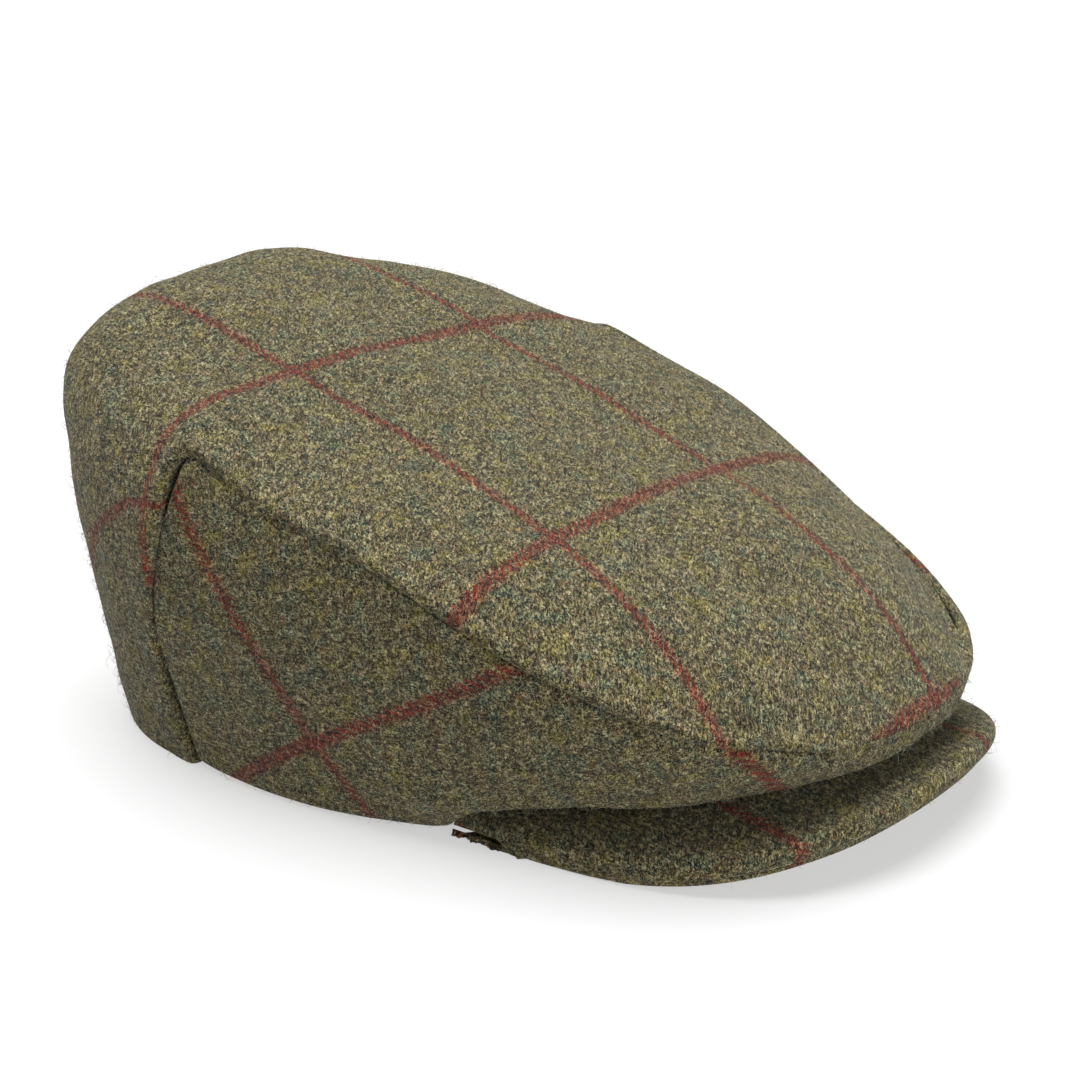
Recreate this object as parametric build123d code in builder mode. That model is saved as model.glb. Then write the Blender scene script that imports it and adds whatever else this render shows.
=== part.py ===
"""Tweed flat cap: a three-panel crown over a stiffened peak, padded lining and sweatband.

Millimetres, +Z up. The front (the peak) points along -Y and the wearer's right is -X.
The origin is the centre of the head opening, on the plane that the cap rests on.
"""

from build123d import *
import os
from math import acos, asin, cos, pi, radians, sin

# Head opening, measured inside the sweatband: about a 58 cm head
HEAD_LENGTH = 200.0
HEAD_WIDTH = 164.0

# Thickness of each cloth and board, and the air left between two of them
TWEED = 1.6
WADDING = 1.0
LINING = 0.5
FOAM = 1.5
SWEATBAND = 1.0
LABEL = 0.4
BOARD = 1.8
PLY_GAP = 0.3
SEAM_GAP = 1.6          # groove between two panels where their edges turn in

# Crown
CROWN_HEIGHT = 125.0
SIDE_FULLNESS = 8.0     # how far a side panel bellies out at the rear seam
FOLD_FULLNESS = 2.0     # the same at the front fold
FOLD_SAG = 3.0          # how far the turned-in cloth hangs below the fold
LINING_START = 14.0     # the top's inner layers stop this far behind the front seam
LINING_DROP = 0.14      # the sides' inner layers start this share of their drop below it

# Peak
PEAK_REACH = 50.0       # from the front of the opening to the tip
PEAK_HALF_WIDTH = 80.0
PEAK_ARCH = 13.0        # rise of the board from its sides to its middle
PEAK_LIFT = 0.1         # of the peak's two low sides above the table
PEAK_END = 61.0         # degrees round the opening, from the front, where the peak stops
PEAK_TAIL = 4.0         # how far forward of its root each end of the edge starts

# Sweatband, its foam and the labels
SWEATBAND_HEIGHT = 32.0
SWEATBAND_RISE = 0.8    # its lower edge above the opening's edge
SWEATBAND_SLIT = 0.5    # half the butt joint at the rear, degrees
FOAM_HEIGHT = 22.0
FOAM_RISE = 4.0
FOAM_END = 48.0         # degrees round the opening that the foam reaches
MAKER_LABEL_WIDTH = 48.0
MAKER_LABEL_SPAN = (0.50, 0.565)   # stations along the centre line
CARE_LABEL_HEIGHT = 20.0
CARE_LABEL_RISE = 5.0
CARE_LABEL_SPAN = (-166.0, -158.0)  # degrees round the opening, beside the butt joint

# Worked out from the values above: the tweed's outer face at the opening's edge
PLIES = TWEED + WADDING + LINING + FOAM + SWEATBAND + 4 * PLY_GAP
HALF_LENGTH = HEAD_LENGTH / 2 + PLIES
HALF_WIDTH = HEAD_WIDTH / 2 + PLIES
WADDING_DEPTH = TWEED + PLY_GAP
LINING_DEPTH = WADDING_DEPTH + WADDING + PLY_GAP
LABEL_DEPTH = LINING_DEPTH + LINING + PLY_GAP
PEAK_STACK = 2 * TWEED + BOARD + 2 * PLY_GAP
EDGE_RADIUS = PEAK_STACK / 2

# Crown outlines. Across is a share of HALF_WIDTH, along of HALF_LENGTH, up of CROWN_HEIGHT.
# Middle of the top panel, from the front seam over the top to the rear edge: (along, up)
CENTRE_LINE = [(-1.39, 0.272), (-1.25, 0.376), (-0.54, 0.625), (0.28, 0.857), (0.70, 0.968),
               (0.90, 0.976), (1.035, 0.86), (1.08, 0.57), (1.045, 0.26), (1.0, -0.01)]
# Seam between the top and a side panel: across the front, then back to the rear corner
FRONT_SEAM = [(0.0, -1.39, 0.272), (0.27, -1.367, 0.272)]
SIDE_SEAM = [(0.513, -1.308, 0.272), (0.72, -1.18, 0.304), (0.86, -1.0, 0.365),
             (0.975, -0.66, 0.48), (1.026, -0.30, 0.61), (1.06, 0.0, 0.70), (1.072, 0.175, 0.755)]
# From that corner the seam turns down behind the ear to the opening
REAR_SEAM = [(1.132, 0.228, 0.62), (1.075, 0.32, 0.34), (0.955, 0.295, -0.01)]
# Line along a side panel's belly; in front it is the fold that overhangs the peak
FOLD_LINE = [(0.0, -1.383, 0.208), (0.285, -1.36, 0.20), (0.525, -1.22, 0.18),
             (0.707, -1.037, 0.152), (0.867, -0.757, 0.12), (0.965, -0.477, 0.10),
             (1.035, -0.19, 0.17), (1.07, 0.05, 0.26), (1.083, 0.318, 0.336)]
CORNER_STATION = 0.5    # station of the centre line whose rib ends in the rear corner
BLUNT_STATION = 0.12    # ribs nearer the front than this are flatter at their ends
FOLD_SHARE = 0.6        # share of a side panel's rows above the belly line
REAR_ANGLE = 107.5      # degrees round the opening, from the front, of the rear seam
EASE_ANGLE = 90.0       # where the opening's edge has come down to the table, degrees


def crown_point(across, along, up):
    """A point of the crown from its shares of the crown's width, length and height."""
    return Vector(across * HALF_WIDTH, along * HALF_LENGTH, up * CROWN_HEIGHT)


centre_line = Edge.make_spline([crown_point(0, *share) for share in CENTRE_LINE])
side_seam = Edge.make_spline([crown_point(*share) for share in SIDE_SEAM])
top_edge = Edge.make_spline([crown_point(*share) for share in SIDE_SEAM + REAR_SEAM])
whole_seam = Edge.make_spline([crown_point(*share) for share in FRONT_SEAM + SIDE_SEAM])
fold_line = Edge.make_spline([crown_point(*share) for share in FOLD_LINE])


def steps(first, last, count):
    """Evenly spaced values from first to last."""
    return [first + (last - first) * i / (count - 1) for i in range(count)]


def smooth(value):
    """Ease from 0 to 1 as value goes from 0 to 1."""
    value = min(max(value, 0.0), 1.0)
    return value * value * (3 - 2 * value)


def right_side(point):
    """The mirror image of a point, on the wearer's right."""
    return Vector(-point.X, point.Y, point.Z)


def outward(point):
    """Level direction away from the head."""
    return Vector(point.X / HALF_WIDTH**2, point.Y / HALF_LENGTH**2, 0).normalized()


def bend(first, control, last, share):
    """A point on the plain curve from first to last, pulled towards control."""
    return first * (1 - share) ** 2 + control * (2 * share * (1 - share)) + last * share**2


def peak_rise(across):
    """Height of the arched peak's underside, across from its middle."""
    return PEAK_LIFT + PEAK_ARCH * (1 - abs(across / (PEAK_HALF_WIDTH - EDGE_RADIUS)) ** 2.5)


def edge_height(angle):
    """Height of the opening's edge: it rides on the peak in front and on the table behind."""
    across = HALF_WIDTH * sin(radians(min(abs(angle), PEAK_END)))
    on_peak = peak_rise(across) + PEAK_STACK + PLY_GAP
    return on_peak * (1 - smooth((abs(angle) - PEAK_END) / (EASE_ANGLE - PEAK_END)))


def round_opening(angle, inset, height):
    """A point round the opening: degrees from the front, inset from the tweed's outer face."""
    across = (HALF_WIDTH - inset) * sin(radians(angle))
    return Vector(-across, -(HALF_LENGTH - inset) * cos(radians(angle)), height)


def top_point(station, across):
    """The top panel's outer face: station along the centre line, across from -1 to 1."""
    corner = side_seam.length / top_edge.length
    if station < CORNER_STATION:
        edge_share = corner * station / CORNER_STATION
    else:
        edge_share = corner + (1 - corner) * (station - CORNER_STATION) / (1 - CORNER_STATION)
    edge = top_edge @ edge_share
    middle = centre_line @ station
    rise = (Vector(0, middle.Y, middle.Z) - Vector(0, edge.Y, edge.Z)).length
    power = 2 - smooth(station / BLUNT_STATION)
    turn = across * acos((SEAM_GAP / 2 / rise) ** (1 / power))
    arch = cos(turn) ** power
    return Vector(
        -edge.X * sin(turn),
        edge.Y + (middle.Y - edge.Y) * arch,
        edge.Z + (middle.Z - edge.Z) * arch,
    )


def side_point(share, drop, folded=True):
    """The right side panel's outer face: share back along it, drop from its seam to its foot.

    The inner layers are not folded: in front they run straight from the seam to the opening.
    """
    seam = right_side(whole_seam @ share)
    fold = right_side(fold_line @ share)
    angle = REAR_ANGLE * share
    foot = round_opening(angle, 0, edge_height(angle) - 2 * smooth((share - 0.75) / 0.1))
    front = 1 - smooth((share - 0.35) / 0.3)
    fullness = FOLD_FULLNESS + (SIDE_FULLNESS - FOLD_FULLNESS) * smooth(share)
    if not folded:
        fold = fold + ((seam + foot) * 0.5 - fold) * front
        fullness = fullness * (1 - front)
    first = FOLD_SHARE * SEAM_GAP / 2 / (fold - seam).length
    drop = first + drop * (1 - first)
    if drop < FOLD_SHARE:
        control = (seam + fold) * 0.5 + outward(seam + fold) * fullness
        return bend(seam, control, fold, drop / FOLD_SHARE)
    sag = Vector(0, 0, -FOLD_SAG * front) if folded else Vector(0, 0, 0)
    return bend(fold, (fold + foot) * 0.5 + sag, foot, (drop - FOLD_SHARE) / (1 - FOLD_SHARE))


def peak_point(share, reach, height, roll=0.0):
    """The peak: share round it from right to left, reach from its root (0) to its edge (1).

    Past the edge, roll turns the cloth round it, in degrees, down if height is the top.
    """
    angle = PEAK_END * (1 - 2 * share)
    root = round_opening(angle, 0, 0)
    start = round_opening(PEAK_END, 0, 0).Y - PEAK_TAIL
    turn = pi / 2 * angle / PEAK_END
    across = (PEAK_HALF_WIDTH - EDGE_RADIUS) * abs(sin(turn)) ** 0.85
    depth = HALF_LENGTH + PEAK_REACH - EDGE_RADIUS + start
    edge = Vector(-across if turn > 0 else across, start - depth * cos(turn) ** 0.62, 0)
    point = root + (edge - root) * reach
    point += (edge - root).normalized() * EDGE_RADIUS * sin(radians(roll))
    sag = EDGE_RADIUS * (1 - cos(radians(roll)))
    level = height - sag if height > EDGE_RADIUS else height + sag
    return Vector(point.X, point.Y, peak_rise(point.X) + level)


def sunk(grid, depth):
    """The same grid moved towards the head, square to the cloth."""
    moved = []
    for i, row in enumerate(grid):
        before = grid[max(i - 1, 0)]
        after = grid[min(i + 1, len(grid) - 1)]
        moved.append([])
        for j, point in enumerate(row):
            along = after[j] - before[j]
            across = row[min(j + 1, len(row) - 1)] - row[max(j - 1, 0)]
            moved[i].append(point + across.cross(along).normalized() * depth)
    return moved


def ply(grid, depth, thickness):
    """A closed layer of cloth: its outer face lies depth below the grid."""
    outer = Face.make_surface_from_array_of_points(sunk(grid, depth))
    inner = Face.make_surface_from_array_of_points(sunk(grid, depth + thickness))
    rims = [Face.make_surface_from_curves(a, b) for a, b in zip(outer.edges(), inner.edges())]
    return Solid(Shell([outer, inner, *rims]))


def top_grid(first, last, across=1.0, rows=61, columns=25):
    """Points over the top panel between two stations of its centre line."""
    stations = steps(first, last, rows)
    return [[top_point(k, t) for t in steps(-across, across, columns)] for k in stations]


def side_grid(folded):
    """Points over the right side panel, from its front centre back to its rear seam.

    In the narrow front the inner layers start lower, clear of those of the top panel.
    """
    last = 1 - SEAM_GAP / 2 / whole_seam.length
    grid = []
    for s in steps(0.003, last, 41):
        first = 0.0 if folded else LINING_DROP * (1 - 0.8 * smooth((s - 0.15) / 0.3))
        grid.append([side_point(s, d, folded) for d in steps(first, 1.0, 17)])
    return grid


def band_grid(first, last, low, high, inset, rows):
    """Points on an upright band that follows the opening between two angles."""
    return [
        [round_opening(a, inset, edge_height(a) + h) for h in steps(high, low, 5)]
        for a in steps(first, last, rows)
    ]


os.makedirs("parts", exist_ok=True)
lining_station = LINING_START / centre_line.length
rest_plane = Plane.XY
inner_edge_plane = Plane.XY.offset(SWEATBAND_RISE)

# ---- Crown: the tweed shell ----
with BuildPart() as top_panel:
    add(ply(top_grid(0.0, 1.0), 0, TWEED))
    split(bisect_by=rest_plane)
top_panel.part.label = "top_panel"
export_step(top_panel.part, "parts/top_panel.step")

with BuildPart() as side_panel_right:
    add(ply(side_grid(folded=True), 0, TWEED))
    split(bisect_by=rest_plane)
side_panel_right.part.label = "side_panel_right"
export_step(side_panel_right.part, "parts/side_panel_right.step")

with BuildPart() as side_panel_left:
    mirror(side_panel_right.part, about=Plane.YZ)
side_panel_left.part.label = "side_panel_left"
export_step(side_panel_left.part, "parts/side_panel_left.step")

# ---- Crown: wadding and lining, each cut like the shell ----
with BuildPart() as top_wadding:
    add(ply(top_grid(lining_station, 1.0), WADDING_DEPTH, WADDING))
    split(bisect_by=inner_edge_plane)
top_wadding.part.label = "top_wadding"
export_step(top_wadding.part, "parts/top_wadding.step")

with BuildPart() as side_wadding_right:
    add(ply(side_grid(folded=False), WADDING_DEPTH, WADDING))
    split(bisect_by=inner_edge_plane)
side_wadding_right.part.label = "side_wadding_right"
export_step(side_wadding_right.part, "parts/side_wadding_right.step")

with BuildPart() as side_wadding_left:
    mirror(side_wadding_right.part, about=Plane.YZ)
side_wadding_left.part.label = "side_wadding_left"
export_step(side_wadding_left.part, "parts/side_wadding_left.step")

with BuildPart() as top_lining:
    add(ply(top_grid(lining_station, 1.0), LINING_DEPTH, LINING))
    split(bisect_by=inner_edge_plane)
top_lining.part.label = "top_lining"
export_step(top_lining.part, "parts/top_lining.step")

with BuildPart() as side_lining_right:
    add(ply(side_grid(folded=False), LINING_DEPTH, LINING))
    split(bisect_by=inner_edge_plane)
side_lining_right.part.label = "side_lining_right"
export_step(side_lining_right.part, "parts/side_lining_right.step")

with BuildPart() as side_lining_left:
    mirror(side_lining_right.part, about=Plane.YZ)
side_lining_left.part.label = "side_lining_left"
export_step(side_lining_left.part, "parts/side_lining_left.step")

# ---- Peak: a moulded board between two covers that meet round its edge ----
cover_shares = steps(0.995, 0.005, 49)
cover_rows = [(reach, 0) for reach in steps(0.0, 1.0, 9)] + [(1.0, roll) for roll in (25, 50, 75)]

with BuildPart() as peak_upper_cover:
    add(ply([[peak_point(s, r, PEAK_STACK, roll) for r, roll in cover_rows] for s in cover_shares],
            0, TWEED))
peak_upper_cover.part.label = "peak_upper_cover"
export_step(peak_upper_cover.part, "parts/peak_upper_cover.step")

with BuildPart() as peak_under_cover:
    add(ply([[peak_point(s, r, 0, roll) for r, roll in cover_rows] for s in cover_shares[::-1]],
            0, TWEED))
peak_under_cover.part.label = "peak_under_cover"
export_step(peak_under_cover.part, "parts/peak_under_cover.step")

with BuildPart() as peak_board:
    board_top = PEAK_STACK - TWEED - PLY_GAP
    board_rows = steps(0.0, 1.0, 9)
    add(ply([[peak_point(s, r, board_top) for r in board_rows] for s in steps(0.97, 0.03, 45)],
            0, BOARD))
peak_board.part.label = "peak_board"
export_step(peak_board.part, "parts/peak_board.step")

# ---- Sweatband, its forehead foam and the blank labels ----
with BuildPart() as sweatband:
    end = 180 - SWEATBAND_SLIT
    top = SWEATBAND_RISE + SWEATBAND_HEIGHT
    add(ply(band_grid(-end, end, SWEATBAND_RISE, top, PLIES - SWEATBAND, 97), 0, SWEATBAND))
sweatband.part.label = "sweatband"
export_step(sweatband.part, "parts/sweatband.step")

with BuildPart() as forehead_foam:
    inset = PLIES - SWEATBAND - PLY_GAP - FOAM
    top = FOAM_RISE + FOAM_HEIGHT
    add(ply(band_grid(-FOAM_END, FOAM_END, FOAM_RISE, top, inset, 33), 0, FOAM))
forehead_foam.part.label = "forehead_foam"
export_step(forehead_foam.part, "parts/forehead_foam.step")

with BuildPart() as maker_label:
    label_across = asin(MAKER_LABEL_WIDTH / 2 / HALF_WIDTH) / (pi / 2)
    add(ply(top_grid(*MAKER_LABEL_SPAN, label_across, 7, 9), LABEL_DEPTH, LABEL))
maker_label.part.label = "maker_label"
export_step(maker_label.part, "parts/maker_label.step")

with BuildPart() as care_label:
    top = CARE_LABEL_RISE + CARE_LABEL_HEIGHT
    add(ply(band_grid(*CARE_LABEL_SPAN, CARE_LABEL_RISE, top, PLIES + PLY_GAP, 5), 0, LABEL))
care_label.part.label = "care_label"
export_step(care_label.part, "parts/care_label.step")
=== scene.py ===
"""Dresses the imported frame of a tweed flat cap: cloth panels, peak, lining and sweatband.

Metres, +Z up. The peak points along -Y and the wearer's right is -X, as in the frame.
"""

import logging
import math
import random
from collections.abc import Callable, Sequence
from dataclasses import dataclass, field
from enum import Enum
from functools import cached_property

import bmesh
import bpy
import numpy as np
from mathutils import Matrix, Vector, noise


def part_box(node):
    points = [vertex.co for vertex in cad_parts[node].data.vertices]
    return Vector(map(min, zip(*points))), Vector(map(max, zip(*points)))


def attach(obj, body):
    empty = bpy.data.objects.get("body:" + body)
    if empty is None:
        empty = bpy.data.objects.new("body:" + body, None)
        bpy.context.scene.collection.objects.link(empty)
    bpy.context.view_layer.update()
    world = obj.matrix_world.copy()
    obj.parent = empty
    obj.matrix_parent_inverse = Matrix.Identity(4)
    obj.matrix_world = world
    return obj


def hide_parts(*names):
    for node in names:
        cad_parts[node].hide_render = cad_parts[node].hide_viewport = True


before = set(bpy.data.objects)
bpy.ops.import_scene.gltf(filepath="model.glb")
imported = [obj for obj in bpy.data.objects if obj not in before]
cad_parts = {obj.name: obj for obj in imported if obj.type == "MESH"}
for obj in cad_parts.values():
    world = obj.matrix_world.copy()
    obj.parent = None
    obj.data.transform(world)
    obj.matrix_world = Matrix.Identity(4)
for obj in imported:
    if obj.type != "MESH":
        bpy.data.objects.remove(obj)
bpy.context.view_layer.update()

MM = 0.001

log = logging.getLogger("flat_cap")
logging.basicConfig(level=logging.INFO, format="%(message)s")


class Slot(Enum):
    """The record's material slots."""

    TWEED = "tweed"
    LINING = "lining"
    WADDING = "wadding"
    SWEATBAND = "sweatband"
    FOAM = "foam"
    PEAK_BOARD = "peak_board"
    LABEL = "label"


# ---------------------------------------------------------------- small helpers


def smooth(value: float) -> float:
    """Eases from 0 to 1 as value goes from 0 to 1.

    Args:
        value: any number; it is held between 0 and 1.

    Returns:
        The eased number.
    """
    value = min(max(value, 0.0), 1.0)
    return value * value * (3 - 2 * value)


def bend(first: Vector, control: Vector, last: Vector, share: float) -> Vector:
    """Reads a plain curve that runs from first to last, pulled towards control.

    Args:
        first: where the curve starts.
        control: what it is pulled towards.
        last: where it ends.
        share: how far along, from 0 to 1.

    Returns:
        The point on the curve.
    """
    return first * (1 - share) ** 2 + control * (2 * share * (1 - share)) + last * share**2


def drift(point: Vector, size: float, seed: float) -> float:
    """Slow, even noise for cloth that doesn't lie dead flat.

    Args:
        point: where it is read.
        size: the usual distance from one rise to the next, in metres.
        seed: moves the pattern, so that two pieces differ.

    Returns:
        A height from about -1 to 1.
    """
    return noise.noise(point / size + Vector((seed, seed * 1.7, -seed)))


class SmoothPath:
    """A smooth curve through points, read by its share of length."""

    SAMPLES = 600

    def __init__(self, points: Sequence[Vector]) -> None:
        """Fits a natural cubic through the points.

        Args:
            points: the points, in order.
        """
        self._points = np.array([tuple(p) for p in points])
        gaps = np.linalg.norm(np.diff(self._points, axis=0), axis=1)
        self._knots = np.concatenate([[0.0], np.cumsum(gaps)])
        count = len(points)
        matrix = np.eye(count)
        pull = np.zeros_like(self._points)
        for i in range(1, count - 1):
            matrix[i, i - 1 : i + 2] = gaps[i - 1], 2 * (gaps[i - 1] + gaps[i]), gaps[i]
            ahead = (self._points[i + 1] - self._points[i]) / gaps[i]
            behind = (self._points[i] - self._points[i - 1]) / gaps[i - 1]
            pull[i] = 6 * (ahead - behind)
        self._bends = np.linalg.solve(matrix, pull)
        self._at = np.linspace(0, self._knots[-1], self.SAMPLES)
        line = np.array([self._read(x) for x in self._at])
        steps = np.linalg.norm(np.diff(line, axis=0), axis=1)
        self._along = np.concatenate([[0.0], np.cumsum(steps)])
        self.line = line
        self.length = float(self._along[-1])

    def _read(self, x: float) -> np.ndarray:
        """Reads the curve at a value of its own parameter."""
        i = min(max(int(np.searchsorted(self._knots, x)) - 1, 0), len(self._knots) - 2)
        gap = self._knots[i + 1] - self._knots[i]
        a, b = self._knots[i + 1] - x, x - self._knots[i]
        curve = (self._bends[i] * a**3 + self._bends[i + 1] * b**3) / (6 * gap)
        start = self._points[i] / gap - self._bends[i] * gap / 6
        stop = self._points[i + 1] / gap - self._bends[i + 1] * gap / 6
        return curve + start * a + stop * b

    def __call__(self, share: float) -> Vector:
        """Returns the point at a share of the length."""
        x = float(np.interp(share * self.length, self._along, self._at))
        return Vector(self._read(x))


# ---------------------------------------------------------------- the cap's pattern


@dataclass
class CapPattern:
    """The cap's shape, from the same outlines as the frame and sized from its boxes."""

    plies: float = 6.8 * MM           # all the layers at the opening's edge
    sweatband: float = 1.0 * MM
    top_share: float = 0.9857         # the crown's highest point, as a share of its height
    side_fullness: float = 8.0 * MM
    fold_fullness: float = 2.0 * MM
    fold_sag: float = 3.0 * MM
    peak_reach: float = 50.0 * MM
    peak_half_width: float = 80.0 * MM
    peak_arch: float = 13.0 * MM
    peak_lift: float = 0.1 * MM
    peak_end: float = 61.0            # degrees round the opening, from the front
    peak_tail: float = 4.0 * MM
    peak_stack: float = 5.6 * MM
    corner_station: float = 0.5
    blunt_station: float = 0.12
    fold_share: float = 0.6
    rear_angle: float = 107.5
    ease_angle: float = 90.0
    thin_angle: float = 58.0          # from here the peak thins to its ends
    wrap_angle: float = 55.0          # from here back the shell hides the end of the peak
    centre_shares: tuple = (
        (-1.39, 0.272), (-1.25, 0.376), (-0.54, 0.625), (0.28, 0.857), (0.70, 0.968),
        (0.90, 0.976), (1.035, 0.86), (1.08, 0.57), (1.045, 0.26), (1.0, -0.01),
    )
    front_seam: tuple = ((0.0, -1.39, 0.272), (0.27, -1.367, 0.272))
    side_seam: tuple = (
        (0.513, -1.308, 0.272), (0.72, -1.18, 0.304), (0.86, -1.0, 0.365),
        (0.975, -0.66, 0.48), (1.026, -0.30, 0.61), (1.06, 0.0, 0.70), (1.072, 0.175, 0.755),
    )
    rear_seam: tuple = ((1.132, 0.228, 0.62), (1.075, 0.32, 0.34), (0.955, 0.295, -0.01))
    fold_shares: tuple = (
        (0.0, -1.383, 0.208), (0.285, -1.36, 0.20), (0.525, -1.22, 0.18),
        (0.707, -1.037, 0.152), (0.867, -0.757, 0.12), (0.965, -0.477, 0.10),
        (1.035, -0.19, 0.17), (1.07, 0.05, 0.26), (1.083, 0.318, 0.336),
    )
    bulges: tuple = (
        # (x, y, z) in mm, radius in mm, height in mm: where the worn shape leaves the pattern
        ((-57, 91, 106), 32, 5.0), ((20, 88, 122), 22, 2.0), ((66, 60, 110), 24, 3.8),
        ((90, 22, 99), 20, -2.6), ((90, -20, 83), 28, 2.8), ((79, -102, 47), 34, -5.0),
        ((58, -130, 42), 24, -3.0), ((-62, 86, 98), 16, 2.4), ((-92, 10, 78), 26, 1.2), ((-60, -60, 78), 30, 1.2),
        ((-20, 40, 118), 26, -1.4), ((-30, -10, 102), 28, 1.2), ((10, -90, 66), 34, 1.2),
    )
    bulge_centre: tuple = (0.0, -10 * MM, 15 * MM)
    _ribs: dict = field(default_factory=dict)
    _rows: dict = field(default_factory=dict)

    def __post_init__(self) -> None:
        """Takes the sizes from the frame's boxes and lays out the outlines."""
        low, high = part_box("sweatband")
        inside = self.plies - self.sweatband
        self.half_width = (high.x - low.x) / 2 + inside
        self.half_length = (high.y - low.y) / 2 + inside
        self.crown_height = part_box("top_panel")[1].z / self.top_share
        self.edge_radius = self.peak_stack / 2
        self.centre = self._path([(0.0, *share) for share in self.centre_shares])
        self.side = self._path(self.side_seam)
        self.top_edge = self._path(self.side_seam + self.rear_seam)
        self.seam = self._path(self.front_seam + self.side_seam)
        self.fold = self._path(self.fold_shares)

    def _path(self, shares: Sequence) -> SmoothPath:
        """Returns the smooth path through points given as shares of the crown."""
        size = (self.half_width, self.half_length, self.crown_height)
        return SmoothPath([Vector([s * k for s, k in zip(share, size)]) for share in shares])

    @cached_property
    def front_to_y(self) -> tuple[np.ndarray, np.ndarray]:
        """Length along the centre line against Y, for as long as Y still grows."""
        line = self.centre.line
        last = int(line[:, 1].argmax())
        along = np.linspace(0, self.centre.length, len(line))
        return line[: last + 1, 1], along[: last + 1]

    def bulged(self, point: Vector) -> Vector:
        """Moves a point of the crown in or out by the bulges near it."""
        reach = sum(height * MM * math.exp(-((point - Vector(place) * MM).length / (radius * MM)) ** 2)
                    for place, radius, height in self.bulges)
        off = point - Vector(self.bulge_centre)
        away = Vector((off.x / self.half_width**2, off.y / self.half_length**2, off.z / self.crown_height**2))
        return point + away.normalized() * reach * smooth((point.z - 8 * MM) / (24 * MM))

    def rib(self, station: float) -> tuple[Vector, Vector]:
        """Returns the middle and the side end of the top panel's rib at a station."""
        if station not in self._ribs:
            corner = self.side.length / self.top_edge.length
            if station < self.corner_station:
                share = corner * station / self.corner_station
            else:
                past = (station - self.corner_station) / (1 - self.corner_station)
                share = corner + (1 - corner) * past
            self._ribs[station] = self.centre(station), self.top_edge(share)
        return self._ribs[station]

    def top(self, station: float, across: float, gap: float) -> Vector:
        """Reads the top panel's outer face.

        Args:
            station: share of the centre line, from the front seam to the rear edge.
            across: from -1 on the wearer's left to 1 on their right.
            gap: how far the panel stops short of the seam.

        Returns:
            The point.
        """
        middle, edge = self.rib(station)
        rise = math.hypot(middle.y - edge.y, middle.z - edge.z)
        power = 2 - smooth(station / self.blunt_station)
        turn = across * math.acos((gap / rise) ** (1 / power))
        arch = math.cos(turn) ** power
        return self.bulged(Vector((
            -edge.x * math.sin(turn),
            edge.y + (middle.y - edge.y) * arch,
            edge.z + (middle.z - edge.z) * arch,
        )))

    def peak_rise(self, across: float) -> float:
        """Returns the height of the arched peak's underside, across from its middle."""
        reach = self.peak_half_width - self.edge_radius
        return self.peak_lift + self.peak_arch * (1 - abs(across / reach) ** 2.5)

    def peak_taper(self, angle: float) -> float:
        """Returns the share of the peak's thickness left at an angle; it thins to its ends."""
        return 0.25 + 0.75 * smooth((self.peak_end - abs(angle)) / (self.peak_end - self.thin_angle))

    def edge_height(self, angle: float) -> float:
        """Returns the height of the opening's edge at an angle from the front, in degrees."""
        across = self.half_width * math.sin(math.radians(min(abs(angle), self.peak_end)))
        on_peak = self.peak_rise(across) + self.peak_stack * self.peak_taper(angle) + 0.3 * MM
        past = (abs(angle) - self.peak_end) / (self.ease_angle - self.peak_end)
        return on_peak * (1 - smooth(past))

    def opening(self, angle: float, inset: float, height: float) -> Vector:
        """Returns a point round the opening, inset from the tweed's outer face."""
        turn = math.radians(angle)
        across = (self.half_width - inset) * math.sin(turn)
        return Vector((-across, -(self.half_length - inset) * math.cos(turn), height))

    def outward(self, point: Vector) -> Vector:
        """Returns the level direction away from the head."""
        x, y = point.x / self.half_width**2, point.y / self.half_length**2
        return Vector((x, y, 0)).normalized()

    def side_panel(self, share: float, drop: float, gap: float, folded: bool = True,
                   edge_lift: float = 0.0) -> Vector:
        """Reads the right side panel's outer face.

        Args:
            share: how far back along the panel, from its front centre.
            drop: how far down from its seam to its foot.
            gap: how far the panel stops short of the seam.
            folded: whether it is the shell, which overhangs the peak in a fold.
            edge_lift: how far the foot stays above the opening's edge.

        Returns:
            The point.
        """
        if share not in self._rows:
            mirror = Vector((-1, 1, 1))
            self._rows[share] = self.seam(share) * mirror, self.fold(share) * mirror
        seam, fold = self._rows[share]
        angle = self.rear_angle * share
        height = self.edge_height(angle)
        if folded:
            height *= 1 - smooth((angle - self.wrap_angle) / 9)
        foot = self.opening(angle, 0, height + edge_lift)
        front = 1 - smooth((share - 0.35) / 0.3)
        fullness = self.fold_fullness
        fullness += (self.side_fullness - self.fold_fullness) * smooth(share)
        if not folded:
            fold = fold.lerp((seam + foot) * 0.5, front)
            fullness *= 1 - front
        first = self.fold_share * gap / (fold - seam).length
        drop = first + drop * (1 - first)
        if drop < self.fold_share:
            control = (seam + fold) * 0.5 + self.outward(seam + fold) * fullness
            return self.bulged(bend(seam, control, fold, drop / self.fold_share))
        sag = Vector((0, 0, -self.fold_sag * front if folded else 0))
        past = (drop - self.fold_share) / (1 - self.fold_share)
        return self.bulged(bend(fold, (fold + foot) * 0.5 + sag, foot, past))

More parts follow.
